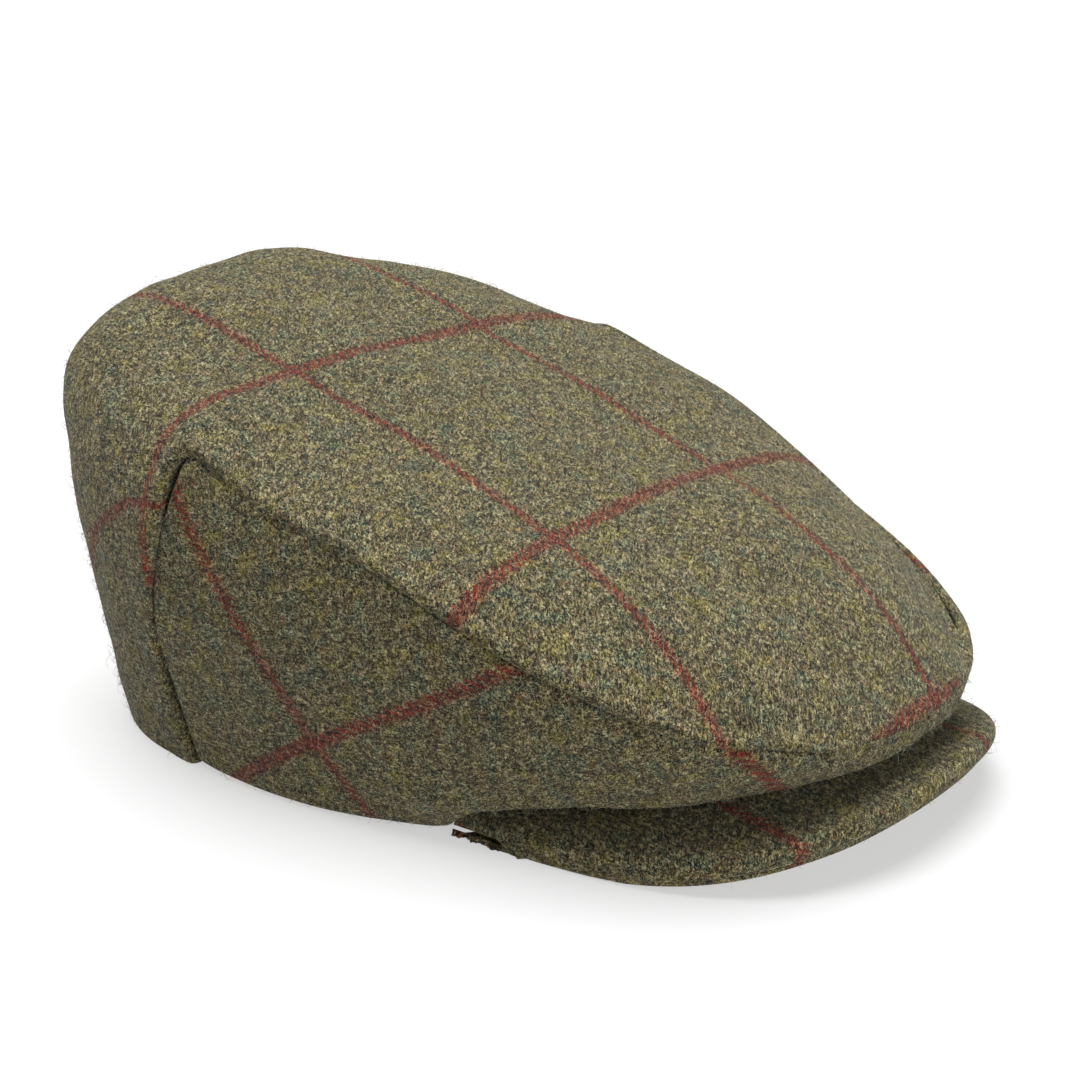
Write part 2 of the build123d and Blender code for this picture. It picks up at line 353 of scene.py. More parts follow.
    def peak(self, share: float, reach: float, height: float, roll: float = 0.0) -> Vector:
        """Reads the peak.

        Args:
            share: round the peak, from its right end to its left.
            reach: from its root (0) to its edge (1).
            height: above the arched underside.
            roll: degrees turned down round the edge.

        Returns:
            The point.
        """
        angle = self.peak_end * (1 - 2 * share)
        root = self.opening(angle, 0, 0)
        start = self.opening(self.peak_end, 0, 0).y - self.peak_tail
        turn = math.pi / 2 * angle / self.peak_end
        across = (self.peak_half_width - self.edge_radius) * abs(math.sin(turn)) ** 0.85
        depth = self.half_length + self.peak_reach - self.edge_radius + start
        edge = Vector((math.copysign(across, -turn), start - depth * math.cos(turn) ** 0.62, 0))
        point = root + (edge - root) * reach
        point += (edge - root).normalized() * self.edge_radius * math.sin(math.radians(roll))
        sag = self.edge_radius * (1 - math.cos(math.radians(roll)))
        level = (height - sag) * self.peak_taper(angle)
        return Vector((point.x, point.y, self.peak_rise(point.x) + level))


# ---------------------------------------------------------------- cloth as a mesh

Place = Callable[[float, float], Vector]
Height = Callable[[Vector, float, float], float]
Weave = Callable[[Vector, float, float], tuple[float, float]]


class Sheet:
    """A piece of cloth that starts as a flat grid, is shaped, and has its edges turned."""

    def __init__(self, name: str, columns: int, rows: int) -> None:
        """Lays out the flat grid.

        Args:
            name: the finished piece's name.
            columns: squares across.
            rows: squares along.
        """
        self.name = name
        self.bm = bmesh.new()
        self.spot = self.bm.verts.layers.float_vector.new("spot")
        self.cloth = self.bm.verts.layers.float_vector.new("cloth")
        bmesh.ops.create_grid(self.bm, x_segments=columns, y_segments=rows, size=0.5)
        for v in self.bm.verts:
            v[self.spot] = (v.co.x + 0.5, v.co.y + 0.5, 0)

    def shape(self, place: Place) -> "Sheet":
        """Moves each point to where the pattern puts it.

        Args:
            place: gives a point's position from its shares across and along.

        Returns:
            The sheet.
        """
        rows: dict[float, None] = {}
        for v in self.bm.verts:
            u, w, _ = v[self.spot]
            v.co = place(round(u, 6), round(w, 6))
            rows[w] = None
        return self

    def face(self, towards: Vector, away: bool = True) -> "Sheet":
        """Turns the faces to look away from a point, or towards it."""
        bmesh.ops.recalc_face_normals(self.bm, faces=self.bm.faces)
        self.bm.normal_update()
        total = sum(f.normal.dot(f.calc_center_median() - towards) * f.calc_area() for f in self.bm.faces)
        if (total > 0) != away:
            bmesh.ops.reverse_faces(self.bm, faces=self.bm.faces)
        self.bm.normal_update()
        return self

    def weave(self, lay: Weave) -> "Sheet":
        """Writes where each point lies on the uncut cloth, in metres."""
        for v in self.bm.verts:
            u, w, _ = v[self.spot]
            v[self.cloth] = (*lay(v.co, u, w), 0)
        return self

    def swell(self, height: Height) -> "Sheet":
        """Moves each point out of the cloth by a height."""
        self.bm.normal_update()
        moves = [v.normal * height(v.co, v[self.spot][0], v[self.spot][1]) for v in self.bm.verts]
        for v, move in zip(self.bm.verts, moves):
            v.co += move
        self.bm.normal_update()
        return self

    def turn_edges(self, radius: float, allowance: float, steps: int = 4,
                   only: Callable[[float, float], bool] | None = None) -> "Sheet":
        """Rolls the cut edges under and adds the seam allowance behind them.

        Args:
            radius: of the roll.
            allowance: cloth left behind it.
            steps: rings of faces round the roll.
            only: picks the edges by their points' shares across and along.

        Returns:
            The sheet.
        """
        self.bm.normal_update()
        edges = [e for e in self.bm.edges if e.is_boundary]
        if only:
            edges = [e for e in edges if all(only(*v[self.spot][:2]) for v in e.verts)]
        rim = {v for e in edges for v in e.verts}
        base = {}
        for v in rim:
            inner = [e.other_vert(v) for e in v.link_edges if not e.is_boundary]
            if inner:
                away, back = v.co - inner[0].co, v[self.cloth] - inner[0][self.cloth]
            else:
                middle = v.link_faces[0]
                away = v.co - middle.calc_center_median()
                back = v[self.cloth] - sum((w[self.cloth] for w in middle.verts), Vector()) / len(middle.verts)
            length = max(away.length, 1e-9)
            base[v] = v.co.copy(), away / length, v.normal.copy(), v[self.cloth].copy(), back / length
        chain = {v: v for v in rim}
        for step in range(1, steps + 2):
            made = bmesh.ops.extrude_edge_only(self.bm, edges=edges)["geom"]
            verts = [g for g in made if isinstance(g, bmesh.types.BMVert)]
            edges = [g for g in made if isinstance(g, bmesh.types.BMEdge) and g.is_boundary
                     and all(w in verts for w in g.verts)]
            onward = {}
            fresh = set(verts)
            for old, first in chain.items():
                for e in old.link_edges:
                    new = e.other_vert(old)
                    if new in fresh:
                        onward[new] = first
            angle = math.pi / 2 * min(step, steps) / steps
            deeper = allowance if step > steps else 0
            for new, first in onward.items():
                spot, away, normal, cloth, back = base[first]
                new.co = spot + away * radius * math.sin(angle)
                new.co -= normal * (radius * (1 - math.cos(angle)) + deeper)
                new[self.cloth] = cloth + back * (radius * angle + deeper)
                new[self.spot] = first[self.spot]
            chain = onward
        self.bm.normal_update()
        return self

    def finish(self, material: bpy.types.Material, thickness: float = 0.0) -> bpy.types.Object:
        """Makes the piece.

        Args:
            material: its finish.
            thickness: of the cloth, added behind the face.

        Returns:
            The object, at the origin.
        """
        uv = self.bm.loops.layers.uv.new("cloth")
        for f in self.bm.faces:
            f.smooth = True
            for loop in f.loops:
                loop[uv].uv = loop.vert[self.cloth][:2]
        return make_piece(self.name, self.bm, material, thickness)


def make_piece(name: str, bm: bmesh.types.BMesh, material: bpy.types.Material,
               thickness: float = 0.0) -> bpy.types.Object:
    """Turns a bmesh into a piece of the cap.

    Args:
        name: the piece's name.
        bm: its shape, freed afterwards.
        material: its finish.
        thickness: a wall added behind its faces, or none.

    Returns:
        The object.
    """
    mesh = bpy.data.meshes.new(name)
    bm.to_mesh(mesh)
    bm.free()
    mesh.materials.append(material)
    piece = bpy.data.objects.new(name, mesh)
    bpy.context.scene.collection.objects.link(piece)
    if thickness:
        wall = piece.modifiers.new("thickness", "SOLIDIFY")
        wall.thickness = thickness
        wall.offset = -1
    log.info("made %s with %d faces", name, len(mesh.polygons))
    return piece


def mirrored(source: bpy.types.Object, name: str, shift: tuple[float, float]) -> bpy.types.Object:
    """Makes the left-hand twin of a right-hand piece.

    Args:
        source: the right-hand piece.
        name: the twin's name.
        shift: how far its cloth was cut from the first piece's, in metres.

    Returns:
        The twin.
    """
    bm = bmesh.new()
    bm.from_mesh(source.data)
    for v in bm.verts:
        v.co.x = -v.co.x
    bmesh.ops.reverse_faces(bm, faces=bm.faces)
    uv = bm.loops.layers.uv.active
    for f in bm.faces:
        for loop in f.loops:
            loop[uv].uv = (shift[0] - loop[uv].uv.x, loop[uv].uv.y + shift[1])
    wall = source.modifiers.get("thickness")
    return make_piece(name, bm, source.data.materials[0], wall.thickness if wall else 0.0)


# ---------------------------------------------------------------- finishes


def hex_colour(code: str) -> tuple[float, float, float, float]:
    """Turns an sRGB hex value into linear light.

    Args:
        code: six hex digits.

    Returns:
        Red, green, blue and a full alpha.
    """
    parts = [int(code[i : i + 2], 16) / 255 for i in (0, 2, 4)]
    linear = [c / 12.92 if c <= 0.04045 else ((c + 0.055) / 1.055) ** 2.4 for c in parts]
    return (*linear, 1.0)


def add_node(tree: bpy.types.NodeTree, kind: str, settings: dict | None = None,
             **links: object) -> bpy.types.Node:
    """Adds a node with its settings and inputs.

    Args:
        tree: the material's node tree.
        kind: the node's type.
        settings: properties of the node itself.
        **links: inputs by name, with _ for a space, or iN for the Nth; a socket or a value.

    Returns:
        The node.
    """
    node = tree.nodes.new(kind)
    for key, value in (settings or {}).items():
        setattr(node, key, value)
    for key, value in links.items():
        socket = node.inputs[int(key[1:])] if key[1:].isdigit() else node.inputs[key.replace("_", " ")]
        if isinstance(value, bpy.types.NodeSocket):
            tree.links.new(value, socket)
        else:
            socket.default_value = value
    return node


@dataclass(frozen=True)
class Surface:
    """What every finish has: its name and its plain shader values."""

    name: str
    roughness: float
    sheen: float = 0.0
    sheen_roughness: float = 0.5

    def start(self) -> tuple[bpy.types.Material, bpy.types.NodeTree, bpy.types.Node]:
        """Makes the material with its shader set and nothing linked."""
        material = bpy.data.materials.new(self.name)
        material.use_nodes = True
        tree = material.node_tree
        shader = tree.nodes["Principled BSDF"]
        shader.inputs["Roughness"].default_value = self.roughness
        shader.inputs["Sheen Weight"].default_value = self.sheen
        shader.inputs["Sheen Roughness"].default_value = self.sheen_roughness
        shader.inputs["Specular IOR Level"].default_value = 0.25
        return material, tree, shader


def ramp(tree: bpy.types.NodeTree, value: bpy.types.NodeSocket,
         stops: Sequence[tuple[float, tuple]]) -> bpy.types.NodeSocket:
    """Reads a colour from a row of stops.

    Args:
        tree: the material's node tree.
        value: where along the row.
        stops: place and colour of each.

    Returns:
        The colour.
    """
    node = add_node(tree, "ShaderNodeValToRGB", Fac=value)
    while len(node.color_ramp.elements) < len(stops):
        node.color_ramp.elements.new(0.5)
    for element, (place, colour) in zip(node.color_ramp.elements, stops):
        element.position = place
        element.color = colour
    return node.outputs["Color"]


def maths(tree: bpy.types.NodeTree, operation: str, first: object, second: object = 0.0,
          third: object = 0.0) -> bpy.types.NodeSocket:
    """Adds one sum and returns its result."""
    node = add_node(tree, "ShaderNodeMath", {"operation": operation}, i0=first, i1=second, i2=third)
    return node.outputs[0]


def between(tree: bpy.types.NodeTree, value: bpy.types.NodeSocket, low: float, high: float,
            start: float = 0.0, stop: float = 1.0) -> bpy.types.NodeSocket:
    """Maps value from low..high to start..stop, held at the ends."""
    node = add_node(tree, "ShaderNodeMapRange", i0=value, i1=low, i2=high, i3=start, i4=stop)
    return node.outputs[0]


def blend_colour(tree: bpy.types.NodeTree, share: object, first: object, second: object,
                 mode: str = "MIX") -> bpy.types.NodeSocket:
    """Mixes two colours."""
    node = add_node(tree, "ShaderNodeMix", {"data_type": "RGBA", "blend_type": mode},
                    i0=share, i6=first, i7=second)
    return node.outputs[2]


@dataclass(frozen=True)
class HeatherTweed(Surface):
    """Woven woollen tweed, olive grey with flecks, milled so that its nap stands up.

    It scatters light broadly and its pale fibre ends catch it at the edges.
    """

    name: str = "heathered_wool_tweed"
    roughness: float = 0.92
    sheen: float = 0.06
    ground: str = "625b3a"
    dark: str = "12110c"
    pale: str = "c4bb90"
    olive: str = "8b7d22"
    teal: str = "43604c"
    brown: str = "7a573c"
    navy: str = "3b3c55"
    rust: str = "a3551f"
    check: str = "8c1512"
    warp_spacing: float = 80 * MM     # between lengthwise lines of the check
    weft_spacing: float = 95 * MM     # between its crosswise lines
    warp_width: float = 3.0 * MM
    weft_width: float = 4.3 * MM
    twill: float = 2.9 * MM           # from one diagonal rib to the next
    stair: float = 1.3 * MM           # how far each dash of a check line steps sideways
    fibre: float = 0.5 * MM          # coarser than a real fibre, so that it shows

    def _fibres(self, tree: bpy.types.NodeTree, place: object, turn: float, size: float,
                long: float) -> bpy.types.NodeSocket:
        """Short streaks that lie one way."""
        lie = add_node(tree, "ShaderNodeMapping", Vector=place, Rotation=(turn * 0.6, turn * 0.35, turn))
        stretch = add_node(tree, "ShaderNodeMapping", Vector=lie.outputs[0],
                           Scale=(1 / size, 1 / size / long, 1 / size))
        streak = add_node(tree, "ShaderNodeTexNoise", Vector=stretch.outputs[0],
                          Scale=1.0, Detail=2.0, Roughness=0.6, Distortion=0.9)
        return streak.outputs["Fac"]

    def _line(self, tree: bpy.types.NodeTree, along: object, across: object, spacing: float,
              offset: float, width: float, slant: float) -> bpy.types.NodeSocket:
        """One set of check lines, broken into the twill's slanted dashes."""
        stray = add_node(tree, "ShaderNodeTexNoise", {"noise_dimensions": "1D"},
                         W=maths(tree, "MULTIPLY", along, 260.0))
        strayed = maths(tree, "MULTIPLY_ADD", stray.outputs["Fac"], 2.2 * MM, across)
        step = maths(tree, "FRACT", maths(tree, "DIVIDE", along, self.twill))
        strayed = maths(tree, "MULTIPLY_ADD", step, self.stair, strayed)
        moved = maths(tree, "SUBTRACT", strayed, offset + 1.1 * MM + self.stair / 2 - spacing / 2)
        turned = maths(tree, "FLOORED_MODULO", moved, spacing)
        away = maths(tree, "ABSOLUTE", maths(tree, "SUBTRACT", turned, spacing / 2))
        band = between(tree, away, width * 0.68, width * 0.34)
        diagonal = maths(tree, "MULTIPLY_ADD", across, slant, along)
        dash = maths(tree, "SINE", maths(tree, "MULTIPLY", diagonal, 2 * math.pi / self.twill))
        return maths(tree, "MULTIPLY", band, between(tree, dash, -0.9, 0.0, 0.4, 1.0))

    def build(self) -> bpy.types.Material:
        """Makes the material.

        Returns:
            The tweed, which reads the cloth's own coordinates and the object's.
        """
        material, tree, shader = self.start()
        place = add_node(tree, "ShaderNodeTexCoord").outputs["Object"]
        uv = add_node(tree, "ShaderNodeUVMap", {"uv_map": "cloth"}).outputs[0]
        split = add_node(tree, "ShaderNodeSeparateXYZ", Vector=uv)
        warp, weft = split.outputs[0], split.outputs[1]

        cloud = add_node(tree, "ShaderNodeTexNoise", Vector=place, Scale=1 / (7 * MM), Detail=3.0, Roughness=0.6)
        tint = add_node(tree, "ShaderNodeTexNoise", Vector=place, Scale=1 / (2.6 * MM), Detail=2.0, Roughness=0.7)
        fleck = ramp(tree, tint.outputs["Fac"], [
            (0.35, hex_colour(self.navy)), (0.42, hex_colour(self.teal)), (0.47, hex_colour(self.ground)),
            (0.53, hex_colour(self.ground)), (0.58, hex_colour(self.olive)), (0.63, hex_colour(self.brown)),
            (0.70, hex_colour(self.rust)),
        ])
        colour = blend_colour(tree, 0.72, hex_colour(self.ground), fleck)
        patch = ramp(tree, cloud.outputs["Fac"], [
            (0.37, hex_colour(self.teal)), (0.46, hex_colour(self.ground)), (0.50, hex_colour(self.brown)),
            (0.54, hex_colour(self.ground)), (0.61, hex_colour(self.olive)),
        ])
        colour = blend_colour(tree, 0.6, colour, patch)

        lines = [
            self._line(tree, weft, warp, self.warp_spacing, 44 * MM, self.warp_width, 1.0),
            self._line(tree, warp, weft, self.weft_spacing, 1 * MM, self.weft_width, 0.8),
        ]
        check = maths(tree, "ADD", *lines)
        check = maths(tree, "MULTIPLY", check, between(tree, tint.outputs["Fac"], 0.25, 0.5, 0.55, 1.0))
        check = maths(tree, "MINIMUM", check, 0.92)
        colour = blend_colour(tree, check, colour, hex_colour(self.check))
        wisp = maths(tree, "MULTIPLY_ADD", check, -0.65, 0.95)

        streaks = [self._fibres(tree, place, turn, self.fibre, 4.5) for turn in (0.2, 1.3, 2.3)]
        light = maths(tree, "MAXIMUM", maths(tree, "MAXIMUM", streaks[0], streaks[1]), streaks[2])
        shade = maths(tree, "MINIMUM", maths(tree, "MINIMUM", streaks[0], streaks[1]), streaks[2])
        colour = blend_colour(tree, between(tree, light, 0.55, 0.68, 0.0, wisp), colour, hex_colour(self.pale))
        colour = blend_colour(tree, between(tree, shade, 0.46, 0.36, 0.0, 0.95), colour, hex_colour(self.dark))

        clump = add_node(tree, "ShaderNodeTexNoise", Vector=place, Scale=1 / (1.9 * MM), Detail=2.0)
        tone = between(tree, clump.outputs["Fac"], 0.3, 0.7, 0.36, 1.04)
        tones = add_node(tree, "ShaderNodeCombineXYZ", i0=tone, i1=tone, i2=tone).outputs[0]
        colour = blend_colour(tree, 1.0, colour, tones, "MULTIPLY")
        diagonal = maths(tree, "SINE", maths(tree, "MULTIPLY", maths(tree, "ADD", warp, weft), 2 * math.pi / self.twill))
        rib = maths(tree, "MULTIPLY", diagonal, 0.10)
        wool = maths(tree, "SUBTRACT", light, between(tree, shade, 0.3, 0.45, 0.5, 0.0))
        height = maths(tree, "ADD", maths(tree, "ADD", rib, wool), maths(tree, "MULTIPLY", tint.outputs["Fac"], 0.8))
        bump = add_node(tree, "ShaderNodeBump", Height=height, Strength=0.75, Distance=0.45 * MM)
        tree.links.new(colour, shader.inputs["Base Color"])
        tree.links.new(bump.outputs[0], shader.inputs["Normal"])
        return material


@dataclass(frozen=True)
class WovenCloth(Surface):
    """A plain or satin woven cloth: lining, sweatband or label, by its colours and threads.

    Its threads are drawn coarser than real ones, so that they show.
    """

    colour: str = "3a3226"
    thread_colour: str = "544a38"
    thread: float = 0.5 * MM
    lift: float = 0.08 * MM

    def build(self) -> bpy.types.Material:
        """Makes the material from its threads, on the cloth's own coordinates."""
        material, tree, shader = self.start()
        uv = add_node(tree, "ShaderNodeUVMap", {"uv_map": "cloth"}).outputs[0]
        split = add_node(tree, "ShaderNodeSeparateXYZ", Vector=uv)
        waves = [maths(tree, "SINE", maths(tree, "MULTIPLY", axis, math.pi / self.thread))
                 for axis in split.outputs[:2]]
        cross = maths(tree, "MULTIPLY", waves[0], waves[1])
        worn = add_node(tree, "ShaderNodeTexNoise", Vector=uv, Scale=1 / (9 * MM), Detail=3.0)
        share = maths(tree, "MULTIPLY_ADD", cross, 0.25, worn.outputs["Fac"])
        colour = blend_colour(tree, between(tree, share, 0.25, 0.8), hex_colour(self.colour),
                              hex_colour(self.thread_colour))
        bump = add_node(tree, "ShaderNodeBump", Height=cross, Strength=0.5, Distance=self.lift)
        tree.links.new(colour, shader.inputs["Base Color"])
        tree.links.new(bump.outputs[0], shader.inputs["Normal"])
        return material


@dataclass(frozen=True)
class FibreFill(Surface):
    """Bonded polyester wadding or open-cell foam: matt, pale and softly mottled."""

    colour: str = "d9d4c8"
    dark: str = "b3ad9f"
    cell: float = 1.2 * MM

    def build(self) -> bpy.types.Material:
        """Makes the material from its cells, on the object's coordinates."""
        material, tree, shader = self.start()
        place = add_node(tree, "ShaderNodeTexCoord").outputs["Object"]
        cells = add_node(tree, "ShaderNodeTexNoise", Vector=place, Scale=1 / self.cell, Detail=3.0)
        colour = blend_colour(tree, between(tree, cells.outputs["Fac"], 0.35, 0.6), hex_colour(self.dark),
                              hex_colour(self.colour))
        bump = add_node(tree, "ShaderNodeBump", Height=cells.outputs["Fac"], Strength=0.6, Distance=0.3 * MM)
        tree.links.new(colour, shader.inputs["Base Color"])
        tree.links.new(bump.outputs[0], shader.inputs["Normal"])
        return material


@dataclass(frozen=True)
class LooseWool(Surface):
    """Fine wool ends that stand off the cloth, pale where light passes through them."""

    name: str = "loose_wool_ends"
    roughness: float = 0.8
    pale: str = "b9b59e"
    dark: str = "57543f"

    def build(self) -> bpy.types.Material:
        """Makes the material; each tuft's shade follows where it stands."""
        material, tree, shader = self.start()
        place = add_node(tree, "ShaderNodeTexCoord").outputs["Object"]
        shade = add_node(tree, "ShaderNodeTexNoise", Vector=place, Scale=1 / (2 * MM), Detail=1.0)
        colour = blend_colour(tree, between(tree, shade.outputs["Fac"], 0.35, 0.62), hex_colour(self.dark),
                              hex_colour(self.pale))
        tree.links.new(colour, shader.inputs["Base Color"])
        return material


# ---------------------------------------------------------------- sub-assemblies


def keep_above(piece: bpy.types.Object, level: float) -> bpy.types.Object:
    """Presses whatever of a piece lies below a level flat onto it."""
    for v in piece.data.vertices:
        v.co.z = max(v.co.z, level)
    return piece


def enlist(piece: bpy.types.Object, slot: Slot, *nodes: str) -> bpy.types.Object:
    """Rides a piece on the cap and hides the frame's nodes that it stands for."""
    if nodes:
        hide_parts(*nodes)
    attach(piece, "root")
    return piece


def cloth_sheet(piece: bpy.types.Object, flat: tuple[float, float], area: float) -> bpy.types.Object:
    """Takes a piece and its sizes in metres, and returns the piece unchanged."""
    return piece


@dataclass
class Crown:
    """The tweed shell: one top panel, and a panel on each side."""

    pattern: CapPattern
    tweed: bpy.types.Material
    thickness: float = 1.6 * MM
    roll: float = 1.8 * MM
    seam_gap: float = 3.7 * MM
    lip: float = 1.0 * MM             # the top panel's edge stands this proud of the seam
    allowance: float = 2.5 * MM
    drape: float = 1.3 * MM           # how far the cloth strays from its pattern

    def _top_cloth(self) -> Weave:
        """Returns where a point of the top panel lies on the cloth."""
        pattern = self.pattern
        ys, along = pattern.front_to_y
        lengths: dict[float, tuple] = {}
        centre = (28 * MM, 107 * MM)
        waist = float(np.interp(centre[0], ys, along))

        def lay(point: Vector, across: float, station: float) -> tuple[float, float]:
            """Lengthwise lines keep their distance; crosswise ones lie level."""
            key = round(station, 6)
            if key not in lengths:
                shares = np.linspace(-1, 1, 61)
                rib = np.array([tuple(pattern.top(key, s, self.seam_gap / 2)) for s in shares])
                run = np.concatenate([[0], np.cumsum(np.linalg.norm(np.diff(rib, axis=0), axis=1))])
                lengths[key] = shares, run - run[-1] / 2
            shares, run = lengths[key]
            u = float(np.interp(across * 2 - 1, shares, run))
            front = max(-30 * MM - point.y, 0.0)
            u -= 2.2 * front * front
            v = float(np.interp(point.y + point.x * 0.07 * smooth((point.y + 0.02) / 0.05), ys, along))
            away = math.hypot(point.x, point.y - centre[0])
            reach = away + 0.8 * max(centre[1] - point.z, 0.0)
            turn = math.atan2(abs(point.x), point.y - centre[0])
            share = smooth((point.y - 5 * MM) / (45 * MM))
            round_u = math.copysign(reach * math.sin(turn), -point.x)
            round_v = waist + reach * math.cos(turn)
            return u + (round_u - u) * share, v + (round_v - v) * share

        return lay

    def _side_cloth(self) -> Weave:
        """Returns where a point of the right side panel lies on the cloth, cut on the slant."""
        pattern = self.pattern
        crossing = Vector((-18.7 * MM, 23 * MM))
        warp_line = Vector((0.65, 0.76))
        weft_line = Vector((-0.83, 0.55))
        skew = warp_line.x * weft_line.y - warp_line.y * weft_line.x
        line = pattern.fold.line
        run = np.concatenate([[0], np.cumsum(np.linalg.norm(np.diff(line[:, :2], axis=0), axis=1))])
        start = float(np.interp(crossing.x, line[:, 1], run))

        def lay(point: Vector, share: float, drop: float) -> tuple[float, float]:
            """Unrolls the panel along its belly, then turns it to its grain."""
            along = float(np.interp(share, np.linspace(0, 1, len(run)), run)) - start
            bend_start = -50 * MM
            if along < bend_start:
                along = bend_start + (along - bend_start) * 0.72
            off = Vector((along, point.z - crossing.y))
            on_warp = (off.x * weft_line.y - off.y * weft_line.x) / skew
            on_weft = (off.y * warp_line.x - off.x * warp_line.y) / skew
            return 44 * MM + on_weft, 96 * MM + on_warp

        return lay

    def _height(self, seed: float, lip: float) -> Height:
        """Returns how far cloth stands from its pattern: slow ripples, easing out at its edges."""

        def height(point: Vector, across: float, along: float) -> float:
            """Ripples away from the edges, and the proud lip along the side edges."""
            ease = smooth(min(across, 1 - across, along, 1 - along) / 0.06)
            ripple = drift(point, 34 * MM, seed) + drift(point, 12 * MM, seed + 3) * 0.3
            return ripple * self.drape * ease + lip * (1 - smooth(min(across, 1 - across) / 0.05))

        return height

    def build(self) -> list[bpy.types.Object]:
        """Makes the three panels.

        Returns:
            Them, the top one first.
        """
        pattern = self.pattern
        middle = Vector((0, 0, 0.04))
        top = Sheet("tweed_top_panel", 190, 200)
        top.shape(lambda u, w: pattern.top(w, 2 * u - 1, self.seam_gap / 2))
        top.weave(self._top_cloth()).face(middle).swell(self._height(2.0, self.lip))
        top.turn_edges(self.roll, self.allowance)
        top_panel = keep_above(top.finish(self.tweed, self.thickness), 0.1 * MM)
        last = 1 - self.seam_gap / 2 / pattern.seam.length
        first = self.seam_gap / 2 / pattern.seam.length
        side = Sheet("tweed_side_panel_right", 260, 70)
        side.shape(lambda u, w: pattern.side_panel(first + (last - first) * u, w, self.seam_gap / 2,
                                                   edge_lift=self.roll + 0.2 * MM))
        side.weave(self._side_cloth()).face(middle).swell(self._height(5.0, 0.0))
        side.turn_edges(self.roll, self.allowance)
        right = keep_above(side.finish(self.tweed, self.thickness), 0.1 * MM)
        left = mirrored(right, "tweed_side_panel_left", (0.0, 0.0))
        cloth_sheet(enlist(top_panel, Slot.TWEED, "top_panel"), (0.30, 0.40), 0.075)
        cloth_sheet(enlist(right, Slot.TWEED, "side_panel_right"), (0.30, 0.085), 0.0145)
        cloth_sheet(enlist(left, Slot.TWEED, "side_panel_left"), (0.30, 0.085), 0.0145)
        return [top_panel, right, left]


@dataclass
class Peak:
    """The short stiff peak: a board in two covers that meet round its edge."""

    pattern: CapPattern
    tweed: bpy.types.Material
    board: bpy.types.Material
    thickness: float = 1.2 * MM
    under_roll: float = 0.6 * MM

    def _cover(self, name: str, node: str, height: float, roll: float) -> bpy.types.Object:
        """Makes one cover, from the root to its edge and round it."""
        pattern = self.pattern
        flat_share = 0.76 if roll else 1.0

        def place(u: float, w: float) -> Vector:
            """Out from the root, then round the edge."""
            turned = (w - flat_share) / (1 - flat_share) * roll if w > flat_share else 0.0
            return pattern.peak(0.99 - 0.98 * u, min(w / flat_share, 1.0), height, turned)

        def lay(point: Vector, u: float, w: float) -> tuple[float, float]:
            """The grain runs front to back, turned a little from the crown's."""
            turned = math.radians((w - flat_share) / (1 - flat_share) * roll) if w > flat_share else 0.0
            return (-point.x + 0.22 * (point.y + 115.5 * MM) - 2.7 * MM,
                    50 * MM - 0.85 * point.y + turned * pattern.edge_radius)

        cover = Sheet(name, 220, 60)
        cover.shape(place).weave(lay)
        cover.face(Vector((0, -110 * MM, pattern.peak_arch + pattern.peak_stack / 2)))
        cover.swell(lambda p, u, w: drift(p, 20 * MM, 8.0) * 0.35 * MM * smooth(min(u, 1 - u) / 0.1))
        cover.turn_edges(self.under_roll, self.under_roll, only=lambda u, w: w > 0.999 or not 0.001 < u < 0.999)
        piece = keep_above(cover.finish(self.tweed, self.thickness), 0.3 * MM)
        cloth_sheet(enlist(piece, Slot.TWEED, node), (0.18, 0.085), 0.0105)
        return piece

    def build(self) -> list[bpy.types.Object]:
        """Makes both covers and finishes the board between them."""
        stack = self.pattern.peak_stack
        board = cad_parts["peak_board"]
        board.data.materials.clear()
        board.data.materials.append(self.board)
        return [
            self._cover("tweed_peak_upper_cover", "peak_upper_cover", stack, 165),
            self._cover("tweed_peak_under_cover", "peak_under_cover", 0.0, 0),
        ]


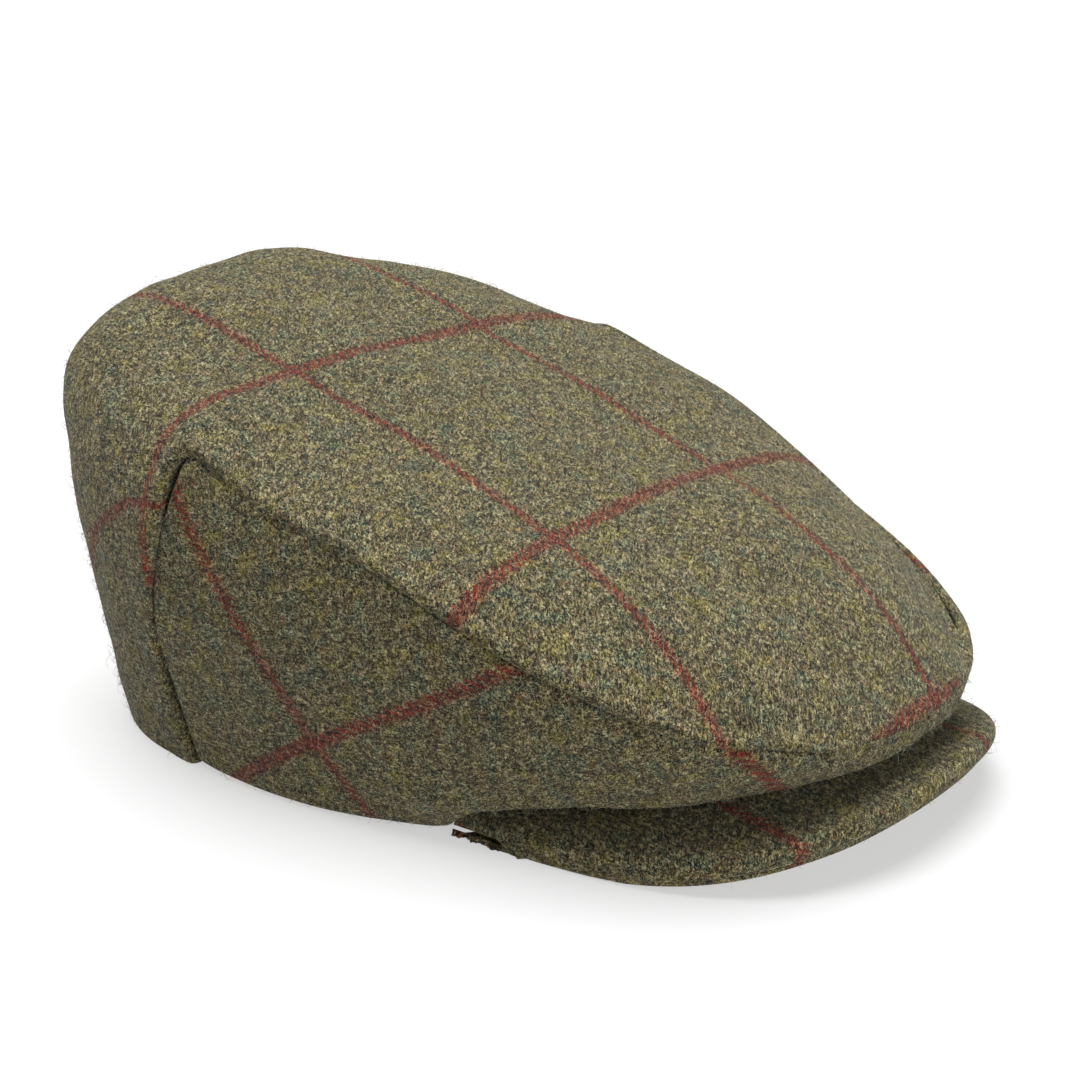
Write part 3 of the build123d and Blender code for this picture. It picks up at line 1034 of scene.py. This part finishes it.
@dataclass
class InnerCrown:
    """What lies inside the shell: wadding, then a quilted lining."""

    pattern: CapPattern
    lining: bpy.types.Material
    wadding: bpy.types.Material
    lining_depth: float = 3.2 * MM
    wadding_depth: float = 1.9 * MM
    quilt: float = 22 * MM            # from one row of quilting to the next
    puff: float = 0.9 * MM
    start: float = 14 * MM            # from the front seam
    first_drop: float = 0.14

    def _quilting(self, depth: float, puffed: bool) -> Height:
        """Sinks a layer to its depth, with diamond quilting if it is the lining."""

        def height(point: Vector, across: float, along: float) -> float:
            """Negative is towards the head."""
            if not puffed:
                return -depth
            rows = [(point.x + point.y * 0.9) / self.quilt, (point.x - point.y * 0.9) / self.quilt]
            pulls = [abs(math.sin(math.pi * row)) ** 0.45 for row in rows]
            return -depth - self.puff * pulls[0] * pulls[1]

        return height

    def _layer(self, name: str, node: str, size: tuple[int, int], place: Place, depth: float,
               puffed: bool, thickness: float) -> bpy.types.Object:
        """Makes one layer of one panel."""
        sheet = Sheet(name, *size)
        sheet.shape(place).weave(lambda p, u, w: (p.x - p.z * 0.3, p.y + p.z)).face(Vector((0, 0, 0.04)))
        sheet.swell(self._quilting(depth, puffed))
        material = self.lining if puffed else self.wadding
        piece = sheet.finish(material, thickness)
        keep_above(piece, 0.9 * MM)
        return enlist(piece, Slot.LINING if puffed else Slot.WADDING, node)

    def build(self) -> list[bpy.types.Object]:
        """Makes three waddings and three linings."""
        pattern = self.pattern
        station = self.start / pattern.centre.length
        gap = 0.8 * MM
        last = 1 - gap / pattern.seam.length

        def top(u: float, w: float) -> Vector:
            """The top panel's layers, clear of the front."""
            return pattern.top(station + (1 - station) * w, 2 * u - 1, gap)

        def side(u: float, w: float) -> Vector:
            """The side panel's layers, which run straight down behind the fold."""
            share = 0.003 + (last - 0.003) * u
            first = self.first_drop * (1 - 0.8 * smooth((share - 0.15) / 0.3))
            return pattern.side_panel(share, first + (1 - first) * w, gap, folded=False)

        pieces = []
        kinds = (("wadding", self.wadding_depth, False, 1.0 * MM, 60), ("lining", self.lining_depth, True, 0.5 * MM, 150))
        for kind, depth, puffed, thickness, count in kinds:
            piece = self._layer(f"{kind}_top", f"top_{kind}", (count, count), top, depth, puffed, thickness)
            right = self._layer(f"{kind}_side_right", f"side_{kind}_right", (count, count // 3), side, depth,
                                puffed, thickness)
            left = mirrored(right, f"{kind}_side_left", (0.0, 0.0))
            enlist(left, Slot.LINING if puffed else Slot.WADDING, f"side_{kind}_left")
            for made, flat, area in ((piece, (0.29, 0.39), 0.070), (right, (0.29, 0.06), 0.0125), (left, (0.29, 0.06), 0.0125)):
                if puffed:
                    cloth_sheet(made, flat, area)
            pieces += [piece, right, left]
        return pieces


@dataclass
class InnerBand:
    """The ribbed sweatband sewn round the opening, its forehead foam and blank labels."""

    pattern: CapPattern
    band: bpy.types.Material
    foam: bpy.types.Material
    label: bpy.types.Material
    height: float = 32 * MM
    rise: float = 0.8 * MM
    slit: float = 0.5
    foam_height: float = 22 * MM
    foam_rise: float = 4 * MM
    foam_end: float = 48.0
    foam_thickness: float = 1.5 * MM
    ply_gap: float = 0.3 * MM
    label_width: float = 48 * MM
    label_depth: float = 4.0 * MM
    label_thickness: float = 0.4 * MM
    maker_span: tuple = (0.50, 0.565)
    care_span: tuple = (-166.0, -158.0)
    care_rise: float = 5 * MM
    care_height: float = 20 * MM

    def _upright(self, name: str, size: tuple[int, int], ends: tuple[float, float],
                 levels: tuple[float, float], inset: float) -> Sheet:
        """Lays out a band round the opening between two angles and two levels."""
        pattern = self.pattern

        def place(u: float, w: float) -> Vector:
            """Round the opening, then up."""
            angle = ends[0] + (ends[1] - ends[0]) * u
            level = levels[0] + (levels[1] - levels[0]) * w
            return pattern.opening(angle, inset, pattern.edge_height(angle) + level)

        run = math.radians(abs(ends[1] - ends[0])) * pattern.half_length * 0.9
        sheet = Sheet(name, *size).shape(place)
        return sheet.weave(lambda p, u, w: (u * run, w * (levels[1] - levels[0])))

    def build(self) -> list[bpy.types.Object]:
        """Makes the sweatband, the foam and the two labels."""
        pattern = self.pattern
        middle = Vector((0, 0, 0.02))
        end = 180 - self.slit
        band = self._upright("sweatband_grosgrain", (720, 24), (-end, end),
                             (self.rise, self.rise + self.height), pattern.plies - pattern.sweatband)
        band.face(middle)
        band.swell(lambda p, u, w: -0.16 * MM * (1 + math.sin(u * math.tau * 240)) * smooth(min(w, 1 - w) / 0.08))
        sweatband = enlist(band.finish(self.band, pattern.sweatband * 0.7), Slot.SWEATBAND, "sweatband")
        cloth_sheet(sweatband, (0.585, 0.032), 0.0187)

        inset = pattern.plies - pattern.sweatband - self.ply_gap - self.foam_thickness
        pad = self._upright("forehead_foam_pad", (80, 18), (-self.foam_end, self.foam_end),
                            (self.foam_rise, self.foam_rise + self.foam_height), inset)
        pad.face(middle)
        foam = enlist(pad.finish(self.foam, self.foam_thickness), Slot.FOAM, "forehead_foam")

        share = math.asin(self.label_width / 2 / pattern.half_width) / (math.pi / 2)
        first, last = self.maker_span
        maker = Sheet("maker_label_blank", 48, 26)
        maker.shape(lambda u, w: pattern.top(first + (last - first) * w, share * (2 * u - 1), 0.8 * MM))
        maker.weave(lambda p, u, w: (p.x, p.y)).face(middle)
        maker.swell(lambda p, u, w: -self.label_depth - 0.3 * MM)
        maker_label = enlist(maker.finish(self.label, self.label_thickness), Slot.LABEL, "maker_label")
        cloth_sheet(maker_label, (0.048, 0.026), 0.00124)

        care = self._upright("care_label_blank", (14, 24), self.care_span,
                             (self.care_rise, self.care_rise + self.care_height), pattern.plies + self.ply_gap)
        care.face(middle)
        care_label = enlist(care.finish(self.label, self.label_thickness), Slot.LABEL, "care_label")
        cloth_sheet(care_label, (0.0138, 0.020), 0.00026)
        return [sweatband, foam, maker_label, care_label]


@dataclass
class Nap:
    """Loose wool ends over the shell, as one piece of fine curled tufts."""

    material: bpy.types.Material
    density: float = 95000.0          # tufts to a square metre
    radius: float = 0.07 * MM
    sides: int = 3
    joints: int = 4

    def _straight(self) -> bpy.types.Mesh:
        """Returns one straight fibre of unit length, with its joints."""
        bm = bmesh.new()
        bmesh.ops.create_cone(bm, cap_ends=False, segments=self.sides, radius1=self.radius,
                              radius2=self.radius, depth=1.0)
        upright = [e for e in bm.edges if abs(e.verts[0].co.z - e.verts[1].co.z) > 0.5]
        bmesh.ops.subdivide_edges(bm, edges=upright, cuts=self.joints - 1)
        mesh = bpy.data.meshes.new("straight_fibre")
        bm.to_mesh(mesh)
        bm.free()
        return mesh

    def _curl(self, fibre: bmesh.types.BMesh, root: Vector, out: Vector, rng: random.Random) -> None:
        """Bends the straight fibre so that it leaves the cloth and leans over."""
        lean = Vector((rng.gauss(0, 1), rng.gauss(0, 1), rng.gauss(0, 1)))
        lean = (lean - out * lean.dot(out)).normalized()
        curl = lean.cross(out) * rng.uniform(-1, 1)
        length = rng.uniform(1.2, 3.2) * MM * (1.7 if rng.random() < 0.12 else 1)
        rise = rng.uniform(0.2, 0.65)
        for v in fibre.verts:
            t = v.co.z + 0.5
            taper = 1 - 0.7 * t
            spine = out * (length * rise * math.sin(t * 2.0) - 0.25 * MM)
            spine += lean * length * t + curl * length * 0.7 * t * t
            v.co = root + spine + lean.cross(out) * v.co.x * taper + out * v.co.y * taper
            v.co.z = max(v.co.z, 0.1 * MM)

    def _sow(self, shell: bpy.types.Object, rng: random.Random) -> bpy.types.Object:
        """Sows tufts evenly over one shell piece and returns them as one piece."""
        bm = bmesh.new()
        faces = [(p.area, p.center.copy(), p.normal.copy()) for p in shell.data.polygons]
        weights = np.cumsum([area for area, _, _ in faces])
        count = int(weights[-1] * self.density * (1))
        fibre, single = bmesh.new(), bpy.data.meshes.new("fibre")
        straight = self._straight()
        for _ in range(count):
            pick = int(np.searchsorted(weights, rng.random() * weights[-1]))
            _, centre, normal = faces[pick]
            fibre.from_mesh(straight)
            self._curl(fibre, centre, normal, rng)
            fibre.to_mesh(single)
            bm.from_mesh(single)
            fibre.clear()
        fibre.free()
        bpy.data.meshes.remove(single)
        bpy.data.meshes.remove(straight)
        for f in bm.faces:
            f.smooth = True
        piece = make_piece(shell.name.replace("tweed", "wool_nap"), bm, self.material)
        return enlist(piece, Slot.TWEED)

    def build(self, shells: Sequence[bpy.types.Object]) -> list[bpy.types.Object]:
        """Sows the tufts over the shells.

        Args:
            shells: the tweed pieces.

        Returns:
            One piece of tufts for each shell piece.
        """
        rng = random.Random(7)
        return [self._sow(shell, rng) for shell in shells]


@dataclass
class Studio:
    """A white sweep, soft light and the camera."""

    target: Vector = field(default_factory=lambda: Vector((0, -16.05 * MM, 48.15 * MM)))
    azimuth: float = -53.0
    elevation: float = 18.5
    distance: float = 0.611
    lens: float = 70.2
    shift: tuple = (0.0222, 0.0148)

    def _lamp(self, name: str, spread: float, power: float, place: tuple, aim: Vector) -> None:
        """Adds a broad distant light aimed at the cap, with its spread in radians."""
        data = bpy.data.lights.new(name, "SUN")
        data.angle = spread
        data.energy = power
        lamp = bpy.data.objects.new(name, data)
        lamp.location = place
        lamp.rotation_euler = (aim - Vector(place)).to_track_quat("-Z", "Y").to_euler()
        bpy.context.scene.collection.objects.link(lamp)

    def build(self) -> None:
        """Makes the floor, the lights, the world and the camera."""
        bm = bmesh.new()
        bmesh.ops.create_grid(bm, x_segments=1, y_segments=1, size=4.0)
        mesh = bpy.data.meshes.new("studio_floor")
        bm.to_mesh(mesh)
        bm.free()
        paper = bpy.data.materials.new("matt_white_paper")
        paper.use_nodes = True
        shader = paper.node_tree.nodes["Principled BSDF"]
        shader.inputs["Base Color"].default_value = (0.35, 0.35, 0.35, 1)
        shader.inputs["Roughness"].default_value = 0.9
        shader.inputs["Emission Color"].default_value = (1, 1, 1, 1)
        shader.inputs["Emission Strength"].default_value = 0.52
        mesh.materials.append(paper)
        floor = bpy.data.objects.new("studio_floor", mesh)
        bpy.context.scene.collection.objects.link(floor)

        world = bpy.data.worlds.new("soft_white")
        world.use_nodes = True
        world.node_tree.nodes["Background"].inputs["Color"].default_value = (1, 1, 1, 1)
        world.node_tree.nodes["Background"].inputs["Strength"].default_value = 0.14
        bpy.context.scene.world = world
        bpy.context.scene.view_settings.view_transform = "Standard"
        aim = self.target
        self._lamp("key_overhead", 1.0, 4.6, (0.12, 0.30, 1.2), aim)
        self._lamp("fill_low_front", 0.6, 1.4, (-0.1, -1.0, 0.42), aim)

        turn, rise = math.radians(self.azimuth), math.radians(self.elevation)
        back = Vector((math.sin(turn) * math.cos(rise), -math.cos(turn) * math.cos(rise), math.sin(rise)))
        data = bpy.data.cameras.new("camera")
        data.lens = self.lens
        data.sensor_width = 36.0
        data.clip_start = 0.01
        data.shift_x, data.shift_y = self.shift
        camera = bpy.data.objects.new("camera", data)
        camera.location = self.target + back * self.distance
        camera.rotation_euler = back.to_track_quat("Z", "Y").to_euler()
        bpy.context.scene.collection.objects.link(camera)
        bpy.context.scene.camera = camera


def main() -> None:
    """Builds the cap's sub-assemblies in order, then the studio."""
    pattern = CapPattern()
    tweed = HeatherTweed().build()
    lining = WovenCloth("quilted_satin_lining", 0.38, 0.3, colour="2c2a22", thread_colour="4a4636").build()
    band = WovenCloth("cotton_grosgrain_sweatband", 0.8, 0.1, colour="201f1b", thread_colour="38362f").build()
    label = WovenCloth("woven_polyester_label", 0.5, 0.1, colour="b9b3a2", thread_colour="d6d1c2").build()
    wadding = FibreFill("bonded_polyester_wadding", 0.95).build()
    foam = FibreFill("open_cell_foam", 0.9, colour="8d8d88", dark="6e6e6a", cell=0.8 * MM).build()
    board = FibreFill("moulded_peak_board", 0.6, colour="e6e6e2", dark="d4d4d0", cell=3 * MM).build()
    shells = Crown(pattern, tweed).build()
    covers = Peak(pattern, tweed, board).build()
    InnerCrown(pattern, lining, wadding).build()
    InnerBand(pattern, band, foam, label).build()
    Nap(LooseWool().build()).build(shells + covers[:1])
    Studio().build()


if __name__ == "__main__":
    main()
